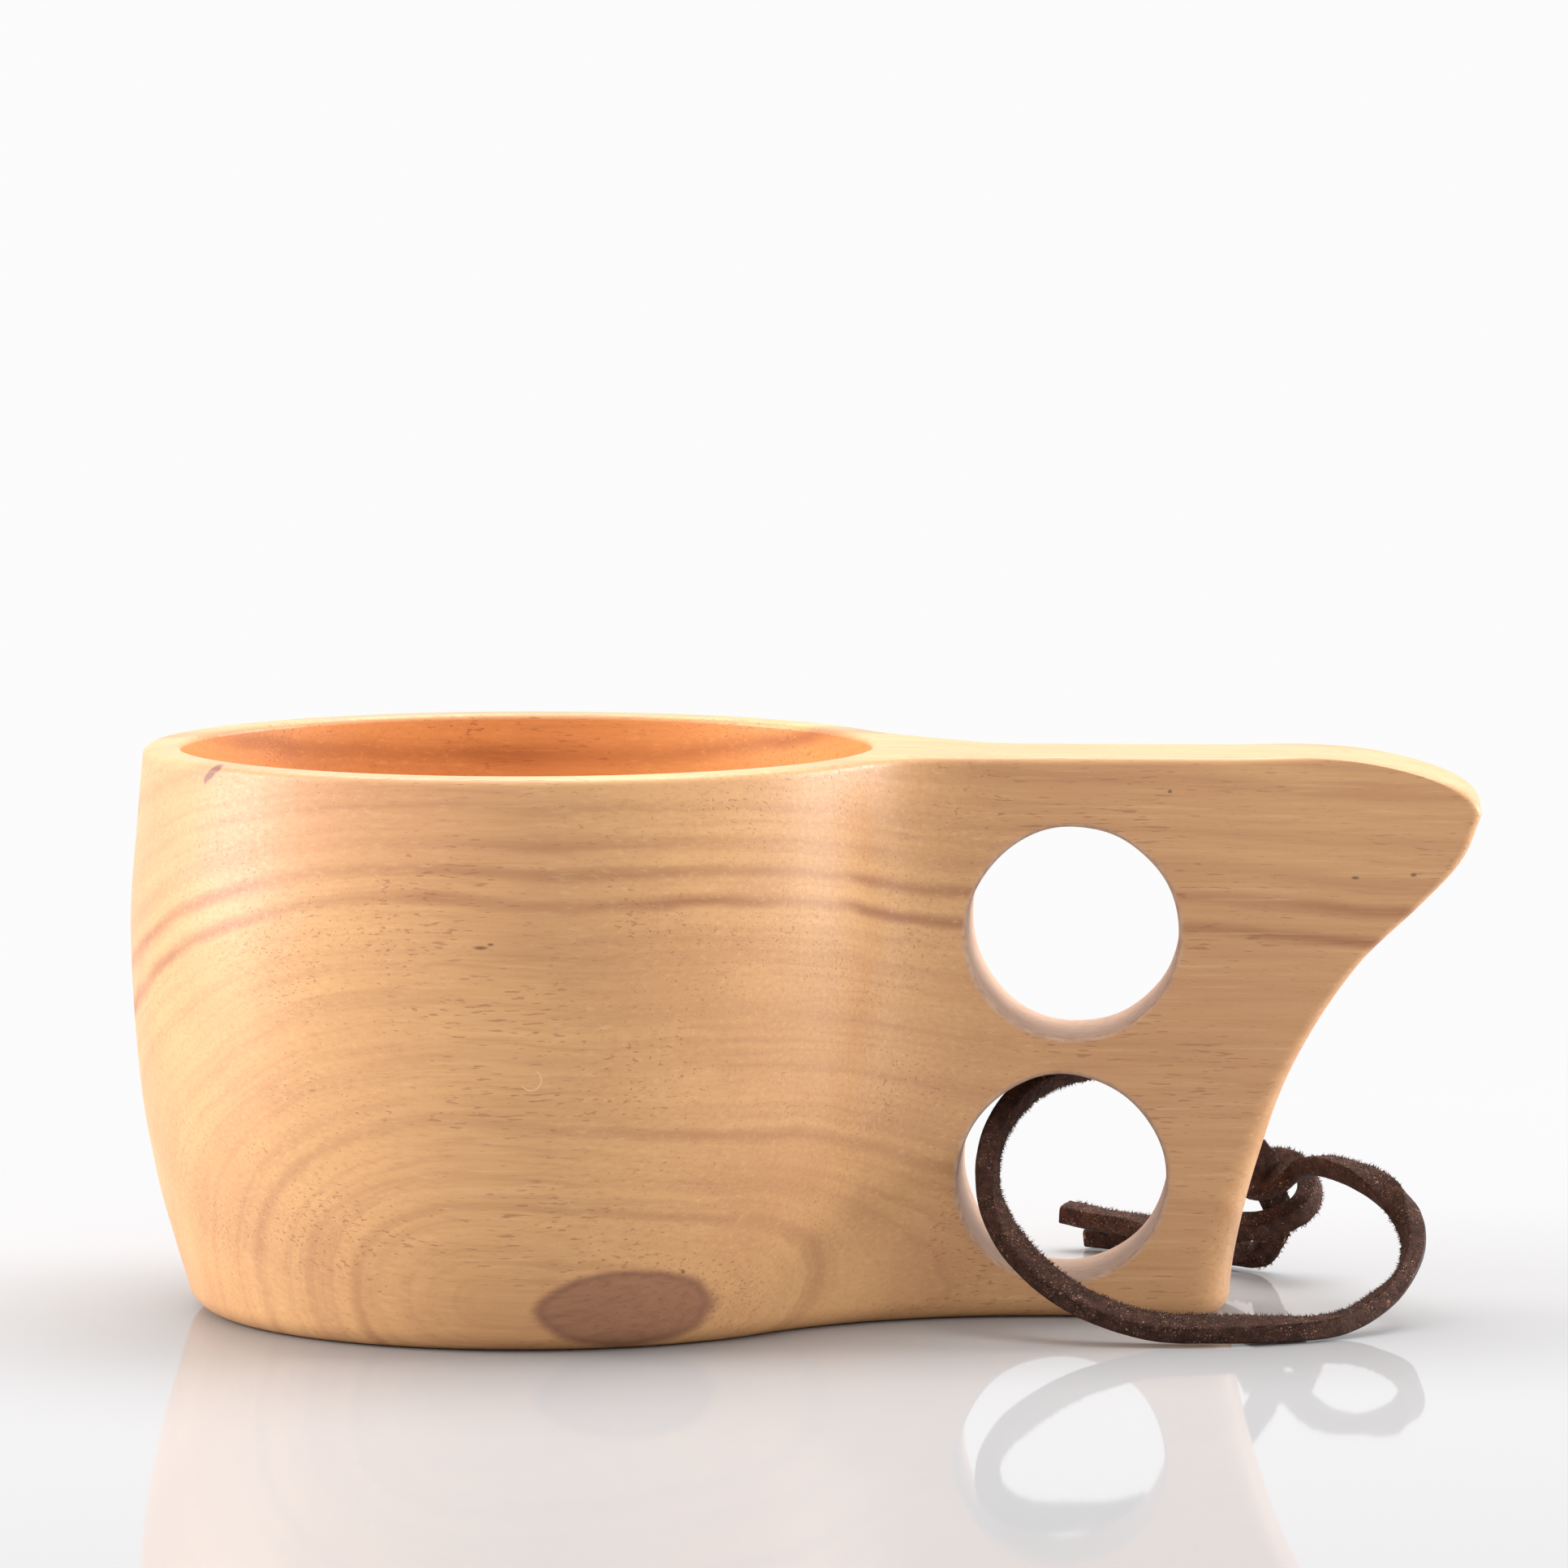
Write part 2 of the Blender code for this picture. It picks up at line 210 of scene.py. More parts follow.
class Shader:
    """A small helper that builds a Principled material from nodes."""

    def __init__(self, name):
        self.material = bpy.data.materials.new(name)
        self.material.use_nodes = True
        self.tree = self.material.node_tree
        self.surface = self.tree.nodes["Principled BSDF"]

    def node(self, kind, inputs=(), **settings):
        made = self.tree.nodes.new(kind)
        for key, value in settings.items():
            setattr(made, key, value)
        for key, value in dict(inputs).items():
            self.plug(made.inputs[key], value)
        return made

    def plug(self, socket, value):
        if isinstance(value, bpy.types.NodeSocket):
            self.tree.links.new(value, socket)
        else:
            socket.default_value = value

    def set(self, **values):
        for key, value in values.items():
            self.plug(self.surface.inputs[key.replace("_", " ")], value)

    def math(self, operation, *values, clamp=False):
        made = self.node("ShaderNodeMath", operation=operation, use_clamp=clamp)
        for index, value in enumerate(values):
            self.plug(made.inputs[index], value)
        return made.outputs[0]

    def vector(self, operation, *values, scale=None):
        made = self.node("ShaderNodeVectorMath", operation=operation)
        for index, value in enumerate(values):
            self.plug(made.inputs[index], value)
        if scale is not None:
            self.plug(made.inputs["Scale"], scale)
        gives_number = operation in ("LENGTH", "DISTANCE", "DOT_PRODUCT")
        return made.outputs["Value"] if gives_number else made.outputs[0]

    def step(self, value, low, high, start=0.0, end=1.0):
        """start below low, end above high and a smooth change between."""
        made = self.node("ShaderNodeMapRange", interpolation_type="SMOOTHSTEP")
        items = {"Value": value, "From Min": low, "From Max": high, "To Min": start, "To Max": end}
        for key, item in items.items():
            self.plug(made.inputs[key], item)
        return made.outputs["Result"]

    def noise(self, place, scale=1.0, detail=2.0, roughness=0.5, distortion=0.0):
        return self.node("ShaderNodeTexNoise", {
            "Vector": place, "Scale": scale, "Detail": detail,
            "Roughness": roughness, "Distortion": distortion,
        }).outputs["Fac"]

    def mix(self, share, first, second, blend="MIX"):
        made = self.node("ShaderNodeMix", data_type="RGBA", blend_type=blend)
        for index, value in ((0, share), (6, first), (7, second)):
            self.plug(made.inputs[index], value)
        return made.outputs[2]

    def band(self, value, centre, width):
        """1 on a centre line, falling smoothly to 0 at width to either side."""
        away = self.math("ABSOLUTE", self.math("SUBTRACT", value, centre))
        return self.step(away, 0.0, width, 1.0, 0.0)

    def bump(self, height, distance, strength=1.0, normal=None):
        inputs = {"Height": height, "Distance": distance, "Strength": strength}
        if normal is not None:
            inputs["Normal"] = normal
        return self.node("ShaderNodeBump", inputs).outputs[0]


def colour(red, green, blue):
    return (red, green, blue, 1.0)


# Wood figure, in mm. The growth rings lie round a pith that runs near the front of the base.
PITH = (-1.0, -45.0, 6.4)
PITH_SPREAD_LEFT = 0.73
PITH_SPREAD_RIGHT = 0.036
PITH_SPREAD_DEPTH = 0.53
PITH_TILT = -0.047
# Marked rings: (distance from the pith, half width, strength)
RINGS = [
    (12.4, 1.1, 0.42), (16.6, 1.6, 0.16), (22.3, 1.2, 0.40), (25.0, 1.8, 0.14), (30.5, 1.5, 0.14),
    (36.5, 2.2, 0.12), (43.0, 1.6, 0.12), (49.2, 1.3, 0.85), (52.8, 1.3, 0.78), (56.2, 1.6, 0.34),
    (60.5, 1.3, 0.22), (74.6, 1.7, 0.75), (79.5, 1.6, 0.45), (66.5, 1.7, 0.3),
]
HEART = (15.2, -40.3, 5.2)
HEART_SIZE = (10.5, 14.0, 4.7)
# Small dark pips in the wood: (place, half size)
PIPS = [
    ((-1.6, -48.8, 49.8), (1.1, 1.0, 0.28)), ((-0.4, -48.8, 50.2), (0.5, 1.0, 0.22)),
    ((21.8, -38.1, 9.6), (0.3, 1.0, 0.35)), ((79.7, -9.7, 65.2), (0.35, 1.0, 0.3)),
    ((102.4, -9.7, 54.7), (0.6, 1.0, 0.25)), ((109.5, -9.7, 55.1), (0.5, 1.0, 0.3)),
]


def make_wood():
    """Pale diffuse-porous wood, cut from one block: rings, pores, rays, a pinkish heart and a knot mark."""
    s = Shader("carved_wood_grain")
    place = s.vector("SCALE", s.node("ShaderNodeTexCoord").outputs["Object"], scale=1000.0)
    split = s.node("ShaderNodeSeparateXYZ", {"Vector": place})
    x, y, z = split.outputs

    def stretched(along, across, shift=0.0):
        return s.vector("MULTIPLY_ADD", place, (along, across, across), (shift, shift, shift))

    def swing(noise_value, amount):
        """A noise value as an offset to either side of zero."""
        return s.math("MULTIPLY", s.math("SUBTRACT", noise_value, 0.5), amount)

    # Distance from the pith, with a slow wander
    along = s.math("SUBTRACT", x, PITH[0])
    left = s.math("MULTIPLY", s.math("MINIMUM", along, 0.0), PITH_SPREAD_LEFT)
    right = s.math("MULTIPLY", s.math("MAXIMUM", along, 0.0), PITH_SPREAD_RIGHT)
    spread = s.math("ADD", left, right)
    deep = s.math("MULTIPLY", s.math("SUBTRACT", y, PITH[1]), PITH_SPREAD_DEPTH)
    rise = s.math("SUBTRACT", s.math("SUBTRACT", z, PITH[2]), s.math("MULTIPLY", along, PITH_TILT))
    offset = s.node("ShaderNodeCombineXYZ", {"X": spread, "Y": deep, "Z": rise}).outputs[0]
    wander = swing(s.noise(stretched(0.020, 0.035, 3.1), detail=2.0), 3.6)
    flutter = swing(s.noise(stretched(0.10, 0.30, 8.0), detail=2.0), 0.8)
    ring = s.math("ADD", s.math("ADD", s.vector("LENGTH", offset), wander), flutter)

    # Ground colour: honey, with paler and browner clouds drawn out along the grain
    clouds = s.noise(stretched(0.022, 0.055, 1.7), detail=3.0, roughness=0.55)
    ground = s.mix(s.step(clouds, 0.30, 0.70), WOOD_HONEY, WOOD_TAN)
    # The wood turns pinker in the outer rings towards the bowl's end, and greyer along the handle
    pink = s.math("MULTIPLY", s.step(ring, 44.0, 58.0), s.step(x, 30.0, -38.0))
    ground = s.mix(s.math("MULTIPLY", pink, 0.40), ground, WOOD_PINK)
    ground = s.mix(s.math("MULTIPLY", s.step(x, 30.0, 75.0), 0.45), ground, WOOD_HANDLE)

    # Fine even rings, then the marked ones
    slow = s.math("ADD", s.math("MULTIPLY", ring, 0.36), 40.0)
    line = s.node("ShaderNodeCombineXYZ", {"X": slow, "Y": s.math("MULTIPLY", x, 0.012), "Z": 0.0}).outputs[0]
    fine = s.step(s.noise(line, scale=2.2, detail=4.0, roughness=0.62), 0.42, 0.72)
    ground = s.mix(s.math("MULTIPLY", fine, 0.36), ground, WOOD_RING)
    patchy = s.step(s.noise(stretched(0.035, 0.06, 21.0), detail=2.0), 0.30, 0.62, 0.45, 1.0)
    marks = None
    for centre, width, strength in RINGS:
        mark = s.math("MULTIPLY", s.band(ring, centre, width), strength)
        marks = mark if marks is None else s.math("MAXIMUM", marks, mark)
    ground = s.mix(s.math("MULTIPLY", marks, patchy), ground, WOOD_RING_DARK)

    # Long fibre streaks and short reddish pore dashes, both drawn out along the grain
    streak = s.noise(stretched(0.055, 1.9, 5.0), detail=4.0, roughness=0.6)
    ground = s.mix(s.step(streak, 0.50, 0.74, 0.0, 0.34), ground, WOOD_RING)
    ground = s.mix(s.step(streak, 0.46, 0.28, 0.0, 0.30), ground, WOOD_PALE)
    pores_noise = s.noise(stretched(0.34, 3.1, 12.0), detail=1.5, roughness=0.5)
    pore_density = s.noise(stretched(0.045, 0.09, 31.0), detail=2.0)
    threshold = s.step(pore_density, 0.30, 0.70, 0.700, 0.605)
    pores = s.step(s.math("SUBTRACT", pores_noise, threshold), 0.0, 0.055)
    pore_share = s.math("MULTIPLY", pores, s.step(pore_density, 0.34, 0.60, 0.35, 1.0))
    ground = s.mix(s.math("MULTIPLY", pore_share, 0.56), ground, WOOD_PORE)
    pinholes = s.noise(stretched(0.9, 5.5, 44.0), detail=1.0)
    pin = s.step(pinholes, 0.66, 0.74)
    ground = s.mix(s.math("MULTIPLY", pin, 0.22), ground, WOOD_PORE)

    # Heart patch: a darker, pinkish oval with a soft dark rim and its own streaks
    local = s.vector("DIVIDE", s.vector("SUBTRACT", place, HEART), HEART_SIZE)
    ragged = swing(s.noise(stretched(0.16, 0.32, 2.0), detail=3.0), 0.22)
    oval = s.math("ADD", s.vector("LENGTH", local), ragged)
    heart = s.step(oval, 1.08, 0.93)
    heart_streak = s.step(s.noise(stretched(0.10, 1.5, 6.0), detail=3.0), 0.40, 0.70)
    heart_tone = s.mix(heart_streak, WOOD_HEART, WOOD_HEART_DARK)
    ground = s.mix(s.math("MULTIPLY", heart, 0.80), ground, heart_tone)
    ground = s.mix(s.math("MULTIPLY", s.band(oval, 0.99, 0.17), 0.55), ground, WOOD_HEART_DARK)

    # Knot mark on the rim, pips, and one pale crescent scratch
    for centre, size in PIPS:
        away = s.vector("LENGTH", s.vector("DIVIDE", s.vector("SUBTRACT", place, centre), size))
        ground = s.mix(s.step(away, 1.15, 0.30, 0.0, 0.72), ground, WOOD_PIP)
    slant = s.vector("SUBTRACT", place, (-35.6, -31.2, 68.9))
    turned = s.node("ShaderNodeVectorRotate", {"Vector": slant, "Angle": 0.75}, rotation_type="Y_AXIS")
    slanted = turned.outputs[0]
    stain = s.math("ADD", s.vector("LENGTH", s.vector("DIVIDE", slanted, (2.7, 2.5, 0.6))),
                   s.math("MULTIPLY", s.math("SUBTRACT", s.noise(place, scale=0.9, detail=3.0), 0.5), 1.1))
    ground = s.mix(s.step(stain, 1.0, 0.5, 0.0, 0.75), ground, WOOD_STAIN)
    curl = s.vector("SUBTRACT", place, (4.3, -48.0, 33.9))
    flat = s.vector("MULTIPLY", curl, (1.0, 0.0, 1.0))
    crescent = s.math("MULTIPLY", s.band(s.vector("LENGTH", flat), 1.25, 0.16),
                      s.step(s.vector("DOT_PRODUCT", flat, (0.75, 0.0, -0.65)), -0.5, 0.1))
    crescent = s.math("MULTIPLY", crescent, s.step(y, -40.0, -46.0))
    ground = s.mix(s.math("MULTIPLY", crescent, 0.95), ground, WOOD_PALE)

    # The hollow's wall is tinted a deeper, brighter orange than the outside: partly the drink and oil it has
    # soaked up, partly painted light that brightens the inside of the bowl
    from_axis = s.vector("LENGTH", s.vector("MULTIPLY", place, (1.0, 1.0, 0.0)))
    hollow = s.math("MULTIPLY", s.step(from_axis, MOUTH_RADIUS / MM + 0.75, MOUTH_RADIUS / MM + 0.35),
                    s.step(z, HEIGHT / MM - 0.2, HEIGHT / MM - 0.9))
    hollow = s.math("MULTIPLY", hollow, s.step(z, 7.0, 8.0))
    ground = s.mix(hollow, ground, s.mix(1.0, ground, WOOD_SOAKED_AND_LIT, "MULTIPLY"))

    # The finger holes' walls are dry, unoiled cuts across the grain: paler and greyer
    bored = None
    for centre, radius in ((UPPER_HOLE, UPPER_HOLE_RADIUS), (LOWER_HOLE, LOWER_HOLE_RADIUS)):
        middle = (centre[0] / MM, 0.0, centre[1] / MM)
        away = s.vector("LENGTH", s.vector("MULTIPLY", s.vector("SUBTRACT", place, middle), (1.0, 0.0, 1.0)))
        inside = s.step(away, radius / MM + 0.75, radius / MM + 0.25)
        bored = inside if bored is None else s.math("MAXIMUM", bored, inside)
    rub = s.noise(s.vector("MULTIPLY", place, (0.7, 2.2, 0.7)), detail=4.0, roughness=0.6)
    bore_tone = s.mix(s.step(rub, 0.35, 0.68), WOOD_BORE, WOOD_BORE_DARK)
    ground = s.mix(s.math("MULTIPLY", bored, 0.78), ground, bore_tone)

    height = s.math("SUBTRACT", s.math("MULTIPLY", streak, 0.5), s.math("MULTIPLY", pores, 0.8))
    tooth = s.noise(place, scale=3.4, detail=3.0, roughness=0.65)
    normal = s.bump(height, 0.00010, 0.35, s.bump(tooth, 0.00006, 0.35))
    s.set(Base_Color=ground, Normal=normal, Specular_IOR_Level=0.42, Coat_Weight=0.10, Coat_Roughness=0.30,
          Roughness=s.math("ADD", s.step(streak, 0.3, 0.8, 0.40, 0.52), s.math("MULTIPLY", bored, 0.25)))
    return s.material


WOOD_HONEY = colour(0.680, 0.372, 0.157)
WOOD_TAN = colour(0.590, 0.306, 0.132)
WOOD_HANDLE = colour(0.515, 0.280, 0.138)
WOOD_PINK = colour(0.620, 0.280, 0.152)
WOOD_PALE = colour(0.760, 0.475, 0.245)
WOOD_RING = colour(0.430, 0.195, 0.085)
WOOD_RING_DARK = colour(0.330, 0.130, 0.055)
WOOD_PORE = colour(0.330, 0.130, 0.060)
WOOD_HEART = colour(0.285, 0.125, 0.068)
WOOD_HEART_DARK = colour(0.225, 0.090, 0.052)
WOOD_PIP = colour(0.085, 0.036, 0.022)
WOOD_STAIN = colour(0.150, 0.052, 0.048)
WOOD_BORE = colour(0.560, 0.390, 0.290)
WOOD_BORE_DARK = colour(0.410, 0.260, 0.190)
# Multiplier for the hollow's wall: part oil tint, part painted light brightening the inside of the bowl
WOOD_SOAKED_AND_LIT = colour(1.130, 0.990, 0.740)


def make_leather(name, base, light, fleck, fleck_share, roughness, bump_mm):
    """Chocolate leather: mottled, with lighter fibre flecks on its fuzzy side."""
    s = Shader(name)
    place = s.vector("SCALE", s.node("ShaderNodeTexCoord").outputs["Object"], scale=1000.0)
    mottle = s.noise(place, scale=0.75, detail=4.0, roughness=0.65)
    nap = s.noise(place, scale=4.5, detail=4.0, roughness=0.7, distortion=0.6)
    tone = s.mix(s.step(mottle, 0.36, 0.66), base, light)
    patch = s.step(s.noise(place, scale=0.30, detail=2.0), 0.44, 0.60, 0.25, 1.0)
    tone = s.mix(s.math("MULTIPLY", s.step(nap, 0.57, 0.68, 0.0, fleck_share), patch), tone, fleck)
    pale = s.noise(s.vector("ADD", place, (9.0, 4.0, 2.0)), scale=1.1, detail=3.0, roughness=0.6)
    tone = s.mix(s.step(pale, 0.66, 0.78, 0.0, fleck_share), tone, fleck)
    s.set(Base_Color=tone, Roughness=roughness, Specular_IOR_Level=0.25,
          Normal=s.bump(nap, bump_mm * MM, 0.8))
    return s.material


# ---------------------------------------------------------------- lace

def smooth_route(route, spacing):
    """Evenly spaced points on a centripetal Catmull-Rom curve through the route's points."""
    points = [Vector(point) for point in route]
    padded = [2 * points[0] - points[1]] + points + [2 * points[-1] - points[-2]]
    fine = []
    for index in range(1, len(padded) - 2):
        before, start, end, after = padded[index - 1:index + 3]
        knots = [0.0]
        for near, far in ((before, start), (start, end), (end, after)):
            knots.append(knots[-1] + math.sqrt((far - near).length))
        for step in range(16):
            t = knots[1] + (knots[2] - knots[1]) * step / 16
            first = before.lerp(start, (t - knots[0]) / (knots[1] - knots[0]))
            second = start.lerp(end, (t - knots[1]) / (knots[2] - knots[1]))
            third = end.lerp(after, (t - knots[2]) / (knots[3] - knots[2]))
            near = first.lerp(second, (t - knots[0]) / (knots[2] - knots[0]))
            far = second.lerp(third, (t - knots[1]) / (knots[3] - knots[1]))
            fine.append(near.lerp(far, (t - knots[1]) / (knots[2] - knots[1])))
    fine.append(points[-1])
    lengths = [0.0]
    for near, far in zip(fine, fine[1:]):
        lengths.append(lengths[-1] + (far - near).length)
    count = max(2, round(lengths[-1] / spacing))
    even, cursor = [], 0
    for step in range(count + 1):
        goal = lengths[-1] * step / count
        while cursor < len(lengths) - 2 and lengths[cursor + 1] < goal:
            cursor += 1
        share = (goal - lengths[cursor]) / (lengths[cursor + 1] - lengths[cursor])
        even.append(fine[cursor].lerp(fine[cursor + 1], min(share, 1.0)))
    return even


def face_guides():
    """(point, direction) pairs along the whole lace that say which way its suede face looks."""
    guides = []

    def tail_face(point):
        """Upwards near the cut ends, and turned to the front beside the knot."""
        turn = smoothstep(point[0], 0.0740, 0.0840)
        return Vector((0.0, -0.16, 1.0)).lerp(Vector((0.05, -0.95, 0.30)), turn)

    for point in LOWER_TAIL_ROUTE[::-1][:5]:
        guides.append((Vector(point), tail_face(point)))
    for point in KNOT_CORE[::-1]:
        guides.append((Vector(point), Vector((0.35, -0.85, 0.25))))
    loop = LOOP_ROUTE[::-1]
    for index, point in enumerate(loop):
        share = 1.0 - index / (len(loop) - 1)
        for (low, first), (high, second) in zip(SUEDE_FACES, SUEDE_FACES[1:]):
            if share <= high:
                direction = Vector(first).lerp(Vector(second), (share - low) / (high - low))
                break
        guides.append((Vector(point), direction))
    for point in KNOT_WINDING[1:-2]:
        guides.append((Vector(point), Vector(point) - KNOT_MIDDLE))
    for point in UPPER_TAIL_ROUTE[1:]:
        guides.append((Vector(point), tail_face(point)))
    return guides


def lace_frames():
    """Centre, along, across and suede-side directions for each section of the lace."""
    route = (LOWER_TAIL_ROUTE[::-1] + KNOT_CORE[::-1] + LOOP_ROUTE[::-1] + KNOT_WINDING + UPPER_TAIL_ROUTE)
    centres = smooth_route(route, LACE_STEP)
    # Ease the route's slight corners, but leave the knot's tight turns alone
    for _ in range(14):
        eased = list(centres)
        for index in range(1, len(centres) - 1):
            mean = (centres[index - 1] + centres[index] * 2 + centres[index + 1]) / 4
            share = smoothstep((centres[index] - KNOT_MIDDLE).length, 0.008, 0.014)
            eased[index] = centres[index].lerp(mean, share)
        centres = eased
    guides = face_guides()
    # Place each guide on the section nearest to it, in order along the lace
    stations, start = [], 0
    for point, direction in guides:
        window = range(start, min(start + 90, len(centres)))
        nearest = min(window, key=lambda index: (centres[index] - point).length)
        stations.append((nearest, direction.normalized()))
        start = nearest + 1
    frames = []
    for index, centre in enumerate(centres):
        ahead = centres[min(index + 1, len(centres) - 1)] - centres[max(index - 1, 0)]
        ahead.normalize()
        before = [s for s in stations if s[0] <= index] or stations[:1]
        after = [s for s in stations if s[0] > index] or stations[-1:]
        gap = after[0][0] - before[-1][0]
        share = min(max((index - before[-1][0]) / gap, 0.0), 1.0) if gap > 0 else 0.0
        face = before[-1][1].lerp(after[0][1], share * share * (3 - 2 * share))
        face = face - ahead * face.dot(ahead)
        frames.append([centre, ahead, face.normalized()])
    # Even out the twist
    for _ in range(6):
        faces = [f[2] for f in frames]
        for index in range(1, len(frames) - 1):
            mean = faces[index - 1] + faces[index] * 2 + faces[index + 1]
            mean = mean - frames[index][1] * mean.dot(frames[index][1])
            frames[index][2] = mean.normalized()
    # A thong that lies low settles onto the table, and the change of height is eased along it
    lifts, least = [], []
    for centre, ahead, face in frames:
        across = ahead.cross(face)
        drop = LACE_WIDTH / 2 * abs(across.z) + LACE_THICKNESS / 2 * abs(face.z)
        gap = centre.z - drop - TABLE_GAP
        lifts.append(-gap * smoothstep(centre.z, 0.0040, 0.0018) if gap > 0 else -gap)
        least.append(-gap)
    for _ in range(6):
        for _ in range(16):
            lifts = [(lifts[max(i - 1, 0)] + lifts[i] * 2 + lifts[min(i + 1, len(lifts) - 1)]) / 4
                     for i in range(len(lifts))]
        lifts = [max(lift, floor) for lift, floor in zip(lifts, least)]
    result = []
    for (centre, ahead, face), lift in zip(frames, lifts):
        result.append((centre + Vector((0.0, 0.0, lift)), ahead, ahead.cross(face), face))
    return result


def section_points():
    """The thong's cross-section as (across, up) shares with a flag for its suede side."""
    points = []
    half_width, half_thickness, corner = LACE_WIDTH / 2, LACE_THICKNESS / 2, 0.00050
    for side in (1, -1):
        for step in range(9):
            points.append(((half_width - corner) * (1 - step / 4) * side, half_thickness * side))
        for step in (1, 2, 3):
            angle = math.pi / 2 * step / 4
            points.append((-side * (half_width - corner + corner * math.sin(angle)),
                           side * (half_thickness - corner + corner * math.cos(angle))))
        for step in (0, 1, 2):
            points.append((-side * half_width, side * (half_thickness - corner) * (1 - step)))
        for step in (1, 2, 3):
            angle = math.pi / 2 * step / 4
            points.append((-side * (half_width - corner + corner * math.cos(angle)),
                           -side * (half_thickness - corner + corner * math.sin(angle))))
    return points


def make_lace(suede, grain):
    """The whole thong as one closed tube, rough on its suede side, with both ends cut square."""
    frames = lace_frames()
    section = section_points()
    form = bmesh.new()
    rings = []
    for index, (centre, ahead, across, face) in enumerate(frames):
        ring = []
        for sideways, up in section:
            width = 1.0 + 0.05 * noise.noise(centre * 160)
            place = centre + across * (sideways * width) + face * up
            rough = noise.noise(place * 2600) * 0.6 + noise.noise(place * 900) * 0.8
            amount = 0.00011 if up > -LACE_THICKNESS * 0.3 else 0.00003
            outward = (across * sideways + face * up * 1.6).normalized()
            ring.append(form.verts.new(place + outward * rough * amount))
        rings.append(ring)
    count = len(section)
    for first, second in zip(rings, rings[1:]):
        for index in range(count):
            after = (index + 1) % count
            made = form.faces.new((first[index], second[index], second[after], first[after]))
            top = section[index][1] + section[after][1] > -LACE_THICKNESS * 0.7
            made.material_index = 0 if top else 1
    form.faces.new(rings[0])
    form.faces.new(list(reversed(rings[-1])))
    bmesh.ops.recalc_face_normals(form, faces=form.faces)
    lace = add_object("lace_thong", form, [suede, grain])
    lace.data.set_sharp_from_angle(angle=math.radians(50))
    return lace, frames


def make_fibres(frames, material):
    """Loose suede fibres: fine closed spikes that stand off the thong's fuzzy face and its edges."""
    chance = random.Random(11)
    form = bmesh.new()
    for _ in range(9000):
        centre, ahead, across, face = frames[chance.randrange(2, len(frames) - 2)]
        edge = chance.random() < 0.6
        side = chance.choice((-1, 1)) * (chance.uniform(0.86, 1.0) if edge else chance.uniform(0.0, 0.9))
        root = centre + across * side * (LACE_WIDTH / 2 - 0.0001) + face * (LACE_THICKNESS / 2 - 0.0001)
        root += ahead * chance.uniform(-0.5, 0.5) * LACE_STEP
        lean = across * side * chance.uniform(0.0, 1.4) + face * chance.uniform(0.35, 1.0)
        lean += ahead * chance.uniform(-0.9, 0.9)
        length = chance.uniform(0.00020, 0.00058) * (1.5 if chance.random() < 0.10 else 1.0)
        tip = root + lean.normalized() * length
        if tip.z < 0.00015:
            continue
        first = lean.orthogonal().normalized()
        second = lean.cross(first).normalized()
        wide = chance.uniform(0.000035, 0.00007)
        base = [form.verts.new(root + (first * math.cos(a) + second * math.sin(a)) * wide)
                for a in (0.0, 2.1, 4.2)]
        top = form.verts.new(tip)
        form.faces.new(base)
        for index in range(3):
            form.faces.new((base[index], top, base[(index + 1) % 3]))
    bmesh.ops.recalc_face_normals(form, faces=form.faces)
    return add_object("lace_fibres", form, [material])


SUEDE = make_leather("lace_suede", colour(0.027, 0.011, 0.008), colour(0.064, 0.027, 0.018),
                     colour(0.560, 0.310, 0.195), 0.95, 0.95, 0.18)
GRAIN = make_leather("lace_grain", colour(0.024, 0.012, 0.010), colour(0.038, 0.019, 0.016),
                     colour(0.060, 0.030, 0.022), 0.15, 0.62, 0.03)
FIBRE = make_leather("lace_fibre", colour(0.050, 0.021, 0.014), colour(0.110, 0.048, 0.030),
                     colour(0.480, 0.270, 0.160), 0.75, 0.90, 0.02)

lace, lace_rings = make_lace(SUEDE, GRAIN)
fibres = make_fibres(lace_rings, FIBRE)
for piece in (lace, fibres):
    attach(piece, SWING["child"])
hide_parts("lace_loop", "lace_knot", "lace_tail_upper", "lace_tail_lower")


# ---------------------------------------------------------------- cup

def edge_inset(height):
    """How far the sides draw in at a height, for the rounded foot and the eased top edge."""
    if height < FOOT_ROUNDING:
        return FOOT_ROUNDING - math.sqrt(FOOT_ROUNDING ** 2 - (FOOT_ROUNDING - height) ** 2)
    into_top = max(height - (HEIGHT - TOP_ROUNDING), 0.0)
    return TOP_ROUNDING - math.sqrt(max(TOP_ROUNDING ** 2 - into_top ** 2, 0.0))


def rear_x(height):
    """Where the handle ends at a height: the rear edge below the tip, an elliptical nose above it."""
    if height <= TIP_HEIGHT:
        return read_curve(REAR_EDGE, height)
    climb = min((height - TIP_HEIGHT) / (HEIGHT - TIP_HEIGHT), 1.0)
    return NOSE_START_X + (TIP_X - NOSE_START_X) * math.sqrt(1.0 - climb ** 2)


def arc(centre, radius, start, end, steps):
    """Points along a plan arc between two angles, both ends included."""
    angles = [start + (end - start) * step / steps for step in range(steps + 1)]
    return [(centre[0] + radius * math.cos(a), centre[1] + radius * math.sin(a)) for a in angles]


def blend_arc(height, inset):
    """Bowl radius, blend radius and blend centre at a height."""
    bowl = read_curve(BOWL_PROFILE, height) - inset
    share = min(height / BLEND_TOP, 1.0)
    blend = BLEND_RADIUS_BASE + (BLEND_RADIUS_TOP - BLEND_RADIUS_BASE) * share + inset
    centre_y = HALF_THICKNESS - inset + blend
    return bowl, blend, math.sqrt((bowl + blend) ** 2 - centre_y ** 2), centre_y


